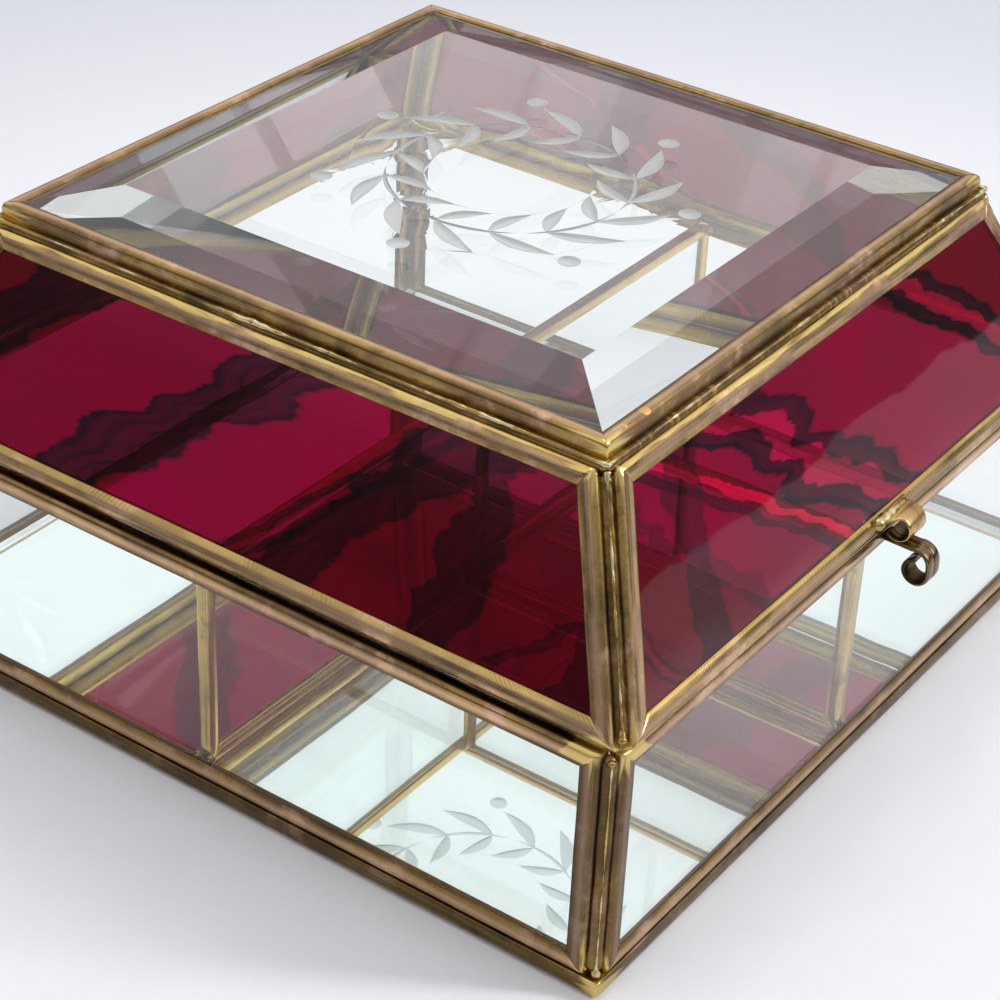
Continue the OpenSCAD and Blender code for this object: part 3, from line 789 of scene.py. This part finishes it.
hollows = []
for k in range(STEPS):
    a = 2 * math.pi * k / STEPS
    for out, wide, bend in ((8.0, 3.0, -1.0), (-6.5, 2.6, 0.8)):
        hollows.append(blade_hollow(on_wreath(a, RING), on_wreath(a + 0.42, RING + out), wide, bend))
for k in range(STEPS // 2):
    a = 4 * math.pi * (k + 0.3) / STEPS
    hollows.append(blade_hollow(on_wreath(a, RING), on_wreath(a + 0.85, RING), 0.9, -1.87, full=0.5))
    hollows.append(round_hollow(*on_wreath(a + 0.2, RING + 10.5), 1.9, 1.9, 0))
print("hollows:", len(hollows))

# %% The pane with its hollows
from mathutils.geometry import delaunay_2d_cdt

frosted_cut, s = new_material("frosted cut")
grit = s.noise(s.add("TexCoord").outputs["Object"], 2600.0, 3.0)
bump = s.add("Bump", {"Height": grit, "Strength": 0.5, "Distance": 0.00004})
finish_surface(s, Base_Color=s.blend(grit, rgb(240, 247, 244), rgb(252, 254, 253)), Roughness=0.42,
               Transmission_Weight=0.68, IOR=1.45, Coat_Weight=0.8, Coat_Roughness=0.3, Normal=bump.outputs[0])


def cut_pane(name, node, flat, slot_in, slot_top, ease=0.02):
    """The top pane: slot edge, bevel, and a flat face sunk at the hollows, in mm."""
    low, high = (Vector(c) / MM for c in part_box(node))
    mid = (low + high) / 2
    half = (high - low) / 2
    points, edges = [], []

    def chain(loop, closed=True):
        first = len(points)
        points.extend(Vector(p) for p in loop)
        ends = list(range(first, len(points)))
        edges.extend(zip(ends, ends[1:] + (ends[:1] if closed else [])))

    fx, fy = flat
    chain([(-fx, mid.y - fy), (fx, mid.y - fy), (fx, mid.y + fy), (-fx, mid.y + fy)])
    for rings, depth in hollows:
        closed_all = len(rings) == 3
        for n, ring in enumerate(rings):
            if n == 0 or closed_all:
                chain(ring)
            else:
                chain(ring, closed=False)
    spots, _, faces, _, _, _ = delaunay_2d_cdt(points, [e for e in edges if e[0] != e[1]], [], 0, 1e-4)
    bm = bmesh.new()

    def sunk(p):
        return max(depth(p[0], p[1]) for _, depth in hollows)

    verts = [bm.verts.new((p.x * MM, p.y * MM, (high.z - sunk(p)) * MM)) for p in spots]
    for ids in faces:
        face = bm.faces.new([verts[i] for i in ids])
        centre = sum((spots[i] for i in ids), Vector((0, 0))) / 3
        if sunk(centre) > 1e-4:
            face.material_index = 1
            face.smooth = True
    corner = {}
    for v, p in zip(verts, spots):
        if abs(abs(p.x) - fx) < 1e-3 and abs(abs(p.y - mid.y) - fy) < 1e-3:
            corner[(p.x > 0, p.y > mid.y)] = v
    turns = ((False, False), (True, False), (True, True), (False, True))
    rings = [[corner[t] for t in turns]]
    for hx, hy, z in ((slot_in[0], slot_in[1], slot_top - ease), (half.x - ease, half.y - ease, slot_top - ease),
                      (half.x - ease, half.y - ease, low.z + ease)):
        rings.append([bm.verts.new(((hx if a else -hx) * MM, (mid.y + (hy if b else -hy)) * MM, z * MM))
                      for a, b in turns])
    for inner, outer in zip(rings, rings[1:]):
        for k in range(4):
            n = (k + 1) % 4
            bm.faces.new((inner[k], outer[k], outer[n], inner[n]))
    bm.faces.new(rings[-1])
    bmesh.ops.recalc_face_normals(bm, faces=bm.faces)
    for edge in bm.edges:
        kinds = {f.material_index for f in edge.link_faces}
        edge.smooth = kinds == {1}
    mesh = bpy.data.meshes.new(name)
    bm.to_mesh(mesh)
    bm.free()
    mesh.materials.append(thick_glass)
    mesh.materials.append(frosted_cut)
    made = mesh_object(name, mesh, "lid")
    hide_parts(node)
    return made


top = cut_pane("cut_top_pane", "top_pane", (43.8, 45.3), (55.4, 56.9), 82.64)
print("top pane:", len(top.data.polygons), "faces")

# %% [markdown]
# ## Solder
# The frames are joined with beads of solder, later plated with the brass. A bead is
# laid by hand, so it swells and thins, breaks off, and ends in a small puddle. Each
# bead is a tube along its seam, and noise sets its radius from place to place.

# %% Beads of solder
def bead(name, path, radius, body, closed=False, lumpy=0.3, around=12, step=0.35 * MM, ends=None, finish=solder):
    """Lumpy tube along a path of points; ends are (radius, length) of end puddles."""
    bm = bmesh.new()
    path = [Vector(p) for p in path]
    legs = list(zip(path, path[1:] + (path[:1] if closed else [])))[:len(path) - (0 if closed else 1)]
    total = sum((b - a).length for a, b in legs)
    rings = []
    gone = 0.0
    for a, b in legs:
        ahead = (b - a).normalized()
        side = ahead.cross(Vector((0.31, 0.17, 0.93)) if abs(ahead.z) < 0.9 else Vector((0.93, 0.31, 0.1))).normalized()
        up = ahead.cross(side)
        length = (b - a).length
        count = max(2, round(length / step))
        for n in range(count + (1 if not closed else 0)):
            s_at = length * n / count
            middle = a + ahead * s_at
            r = radius * (1 + lumpy * 2.0 * noise.noise(middle * 110) + lumpy * 0.4 * noise.noise(middle * 600))
            near = min(gone + s_at, total - gone - s_at)
            if ends:
                r += (ends[0] - radius) * max(0.0, 1 - (near / ends[1]) ** 2)
            if not closed:
                r *= min(1.0, (near / radius + 0.02) ** 0.5) if near < radius else 1.0
            ring = []
            for k in range(around):
                t = 2 * math.pi * k / around
                out = side * math.cos(t) + up * math.sin(t)
                place = middle + out * r
                ring.append(bm.verts.new(place + out * r * lumpy * 0.35 * noise.noise(place * 700)))
            rings.append(ring)
        gone += length
    pairs = list(zip(rings, rings[1:] + (rings[:1] if closed else [])))
    for one, two in pairs[:len(rings) - (0 if closed else 1)]:
        for k in range(around):
            n = (k + 1) % around
            bm.faces.new((one[k], one[n], two[n], two[k])).smooth = True
    if not closed:
        bm.faces.new(rings[0][::-1])
        bm.faces.new(rings[-1])
    bmesh.ops.recalc_face_normals(bm, faces=bm.faces)
    mesh = bpy.data.meshes.new(name)
    bm.to_mesh(mesh)
    bm.free()
    made = mesh_object(name, mesh, body, finish)
    return made


# %% Walls: a backing in each corner, darkened with painted shade, and a thin bead on it
INNER_X, INNER_Y = 73.7, 74.2       # the inner corners of the walls, in mm
CORNERS = ((-1, -1), (1, -1), (1, 1), (-1, 1))
for k, (sx, sy) in enumerate(CORNERS):
    for kind, out, radius, lumpy, ends, finish in (("backing", 0.7, 1.3, 0.06, None, shaded_seam_brass),
                                                   ("bead", 1.7, 0.16, 1.2, (0.7 * MM, 1.4 * MM), solder)):
        x, y = sx * (INNER_X + out) * MM, sy * (INNER_Y + out) * MM
        made = bead(f"corner_{kind}_{k}", [(x, y, 3.7 * MM), (x, y, 44.6 * MM)], radius * MM, "base",
                    lumpy=lumpy, ends=ends, finish=finish)
        if k == 0 and kind == "backing":
            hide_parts("corner_solder")
print("wall corners:", len(CORNERS))

# %% Hips of the lid
TILT = math.radians(26.285)
HIP_LOW = (73.49, 74.99, 45.4)      # inner hip line: half width, half depth, height in mm
CENTRE_Y = -1.0
RISE = 33.0
for k, (sx, sy) in enumerate(CORNERS):
    run = RISE * math.tan(TILT)
    low_end = Vector((sx * HIP_LOW[0], sy * HIP_LOW[1] + CENTRE_Y, HIP_LOW[2]))
    high_end = low_end + Vector((-sx * run, -sy * run, RISE))
    leg = (high_end - low_end).normalized()
    away = Vector((sx, sy, 0)) - leg * Vector((sx, sy, 0)).dot(leg)
    away.normalize()
    for kind, out, radius, lumpy, ends, finish in (("backing", 0.55, 1.25, 0.06, None, shaded_seam_brass),
                                                   ("bead", 1.72, 0.22, 1.2, (0.6 * MM, 2.0 * MM), solder)):
        made = bead(f"hip_{kind}_{k}", [(low_end + leg * 0.9 + away * out) * MM, (high_end - leg * 0.6 + away * out) * MM],
                    radius * MM, "lid", lumpy=lumpy, ends=ends, finish=finish)
        if k == 0 and kind == "backing":
            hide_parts("hip_solder")
print("hips:", len(CORNERS))

# %% The seam round the top frame
for kind, x, y, z, radius, lumpy, finish in (("backing", 58.4, 59.9, 79.4, 0.88, 0.06, shaded_seam_brass),
                                             ("bead", 58.85, 60.35, 80.05, 0.2, 1.1, solder)):
    made = bead(f"top_seam_{kind}", [(sx * x * MM, (sy * y + CENTRE_Y) * MM, z * MM) for sx, sy in CORNERS],
                radius * MM, "lid", closed=True, lumpy=lumpy, finish=finish)
    if kind == "backing":
        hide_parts("top_solder")

# %% Drops at the dividers
HALF_DIVIDER = 1.3
drop_spots = [(sx * INNER_X, 2.0 + sy * HALF_DIVIDER) for sx in (-1, 1) for sy in (-1, 1)]
drop_spots += [(-1.5 + sx * HALF_DIVIDER, -INNER_Y) for sx in (-1, 1)]
for z in (6.5, 43.4):
    for k, (x, y) in enumerate(drop_spots):
        made = bead(f"divider_drop_{k}_{int(z)}", [(x * MM, y * MM, (z - 0.9) * MM), (x * MM, y * MM, (z + 0.9) * MM)],
                    0.9 * MM, "base", lumpy=0.2)
        if k == 0 and z < 10:
            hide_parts("divider_solder")
print("drops:", 2 * len(drop_spots))

# %% [markdown]
# ## Latch
# The latch is two short strips. One is soldered to the base: it reaches out, turns
# down and curls back, with a line rolled along its middle. The other is soldered to
# the lid and rolls over the first. Seen from the side each is a simple path, so one
# helper carries a strip's section along a path in that plane.

# %% A strip along a path
def strip(name, path, width, section, across_at, body, finish, inside, foot=(0.0, 0.0)):
    """Carries a section along a side-view path, in mm; foot widens its start left and right."""
    bm = bmesh.new()
    uv = bm.loops.layers.uv.new("bar")
    rings, gone = [], [0.0]
    for k, (out, up) in enumerate(path):
        a, b = path[max(0, k - 1)], path[min(len(path) - 1, k + 1)]
        length = math.dist(a, b)
        normal = (-(b[1] - a[1]) / length, (b[0] - a[0]) / length)
        if k:
            gone.append(gone[-1] + math.dist(path[k - 1], path[k]))
        spread = max(0.0, 1 - k / (0.25 * len(path))) ** 1.6
        rings.append([bm.verts.new(((across_at + width * w + spread * (foot[1] if w > 0 else -foot[0]) * abs(w) * 2) * MM,
                                    -(out + normal[0] * h) * MM, (up + normal[1] * h) * MM)) for w, h in section])
    girth = [0.0]
    for a, b in zip(section, section[1:] + section[:1]):
        girth.append(girth[-1] + math.dist((a[0] * width, a[1]), (b[0] * width, b[1])))
    count = len(section)
    for k, (one, two) in enumerate(zip(rings, rings[1:])):
        for m in range(count):
            n = (m + 1) % count
            face = bm.faces.new((one[m], one[n], two[n], two[m]))
            face.smooth = True
            face.material_index = int(section[m][1] + section[n][1] < -0.1)
            for loop, (x, y) in zip(face.loops, ((gone[k], girth[m]), (gone[k], girth[m + 1]),
                                                 (gone[k + 1], girth[m + 1]), (gone[k + 1], girth[m]))):
                loop[uv].uv = (x * MM, y * MM)
    bm.faces.new(rings[0][::-1])
    bm.faces.new(rings[-1])
    bmesh.ops.recalc_face_normals(bm, faces=bm.faces)
    mesh = bpy.data.meshes.new(name)
    bm.to_mesh(mesh)
    bm.free()
    made = mesh_object(name, mesh, body, finish)
    mesh.materials.append(inside)
    return made


def arc(centre, radius, start, stop, steps):
    return [(centre[0] + radius * math.cos(a), centre[1] + radius * math.sin(a))
            for a in (math.radians(start + (stop - start) * k / steps) for k in range(steps + 1))]


# %% Hook on the base
LATCH_X = 4.0
hook_strip = brass("latch hook brass", 1500.0, 40.0, gold=rgb(128, 108, 78), brown=rgb(96, 82, 64),
                   olive=rgb(84, 76, 54), pink=rgb(160, 132, 108), shine=(0.2, 0.34))
shaded_brass = brass("brass dark inside the curls", 1500.0, 40.0, gold=rgb(74, 66, 46), brown=rgb(56, 48, 36),
                     olive=rgb(50, 48, 34), pink=rgb(82, 68, 52), shine=(0.3, 0.44))
half = 0.5
hook_section = [(-half, 0.0), (-0.485, 0.22), (-0.45, 0.34), (-0.4, 0.39), (-0.09, 0.4), (-0.045, 0.34), (-0.02, 0.2),
                (0.03, 0.2), (0.055, 0.34), (0.1, 0.4), (0.4, 0.39), (0.45, 0.34), (0.485, 0.22), (half, 0.0),
                (0.485, -0.22), (0.45, -0.34), (0.4, -0.39), (-0.4, -0.39), (-0.45, -0.34), (-0.485, -0.22)]
hook_path = [(76.9 + 0.65 * k, 43.36 - 0.02 * k) for k in range(9)]
hook_path += arc((82.95, 40.75), 2.55, 88, 2, 14) + [(85.52, 40.3), (85.54, 39.8)]
hook_path += arc((83.4, 39.2), 2.13, 0, -262, 34)
hook = strip("latch_hook_strip", hook_path, 4.0, hook_section, LATCH_X, "base", hook_strip, shaded_brass)
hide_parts("latch_hook")
print("hook:", len(hook_path), "steps")

# %% Rolled tongue on the lid
tongue_brass = brass("rolled tongue brass", 1200.0, 30.0, gold=rgb(214, 182, 112), brown=rgb(176, 138, 90),
                     olive=rgb(168, 146, 90), pink=rgb(212, 164, 122), shine=(0.2, 0.34))
tongue_section = [(-half, 0.0), (-0.49, 0.14), (-0.46, 0.24), (-0.4, 0.28), (0.0, 0.3), (0.4, 0.28), (0.46, 0.24), (0.49, 0.14),
                  (half, 0.0), (0.49, -0.14), (0.46, -0.24), (0.4, -0.28), (0.0, -0.28), (-0.4, -0.28), (-0.46, -0.24),
                  (-0.49, -0.14)]
lean = (-math.sin(TILT), math.cos(TILT))
foot_at = (78.5 + 0.12, 46.64 + 0.05)
tongue_path = [(foot_at[0] + lean[0] * climb, foot_at[1] + lean[1] * climb) for climb in (2.95, 2.8, 2.6, 2.4)]
roll = arc((79.7, 46.54), 2.18, 118, -140, 34)
tongue_path = tongue_path + roll[2:]
tongue = strip("latch_tongue_roll", tongue_path, 5.6, tongue_section, LATCH_X, "lid", tongue_brass, shaded_brass,
               foot=(5.0, 0.5))
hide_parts("latch_tongue")
seat = [((LATCH_X + x) * MM, -78.0 * MM, 48.6 * MM) for x in (-7.5, 2.6)]
bead("latch_tongue_solder", seat, 0.8 * MM, "lid", lumpy=0.35)
print("tongue:", len(tongue_path), "steps")

# %% [markdown]
# ## Hinge
# The hinge is drawn tube on a pin, and its solids have the right shape already. They
# only get the finish of drawn tube, with its lines along the pin.

# %% Finish the hinge
for node in ("hinge_tube_left", "hinge_tube_right", "hinge_pin", "lid_hinge_tube"):
    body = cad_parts[node]
    if not body.material_slots:
        body.data.materials.append(tube_brass)
    for slot in body.material_slots:
        slot.material = tube_brass
print("hinge finished")
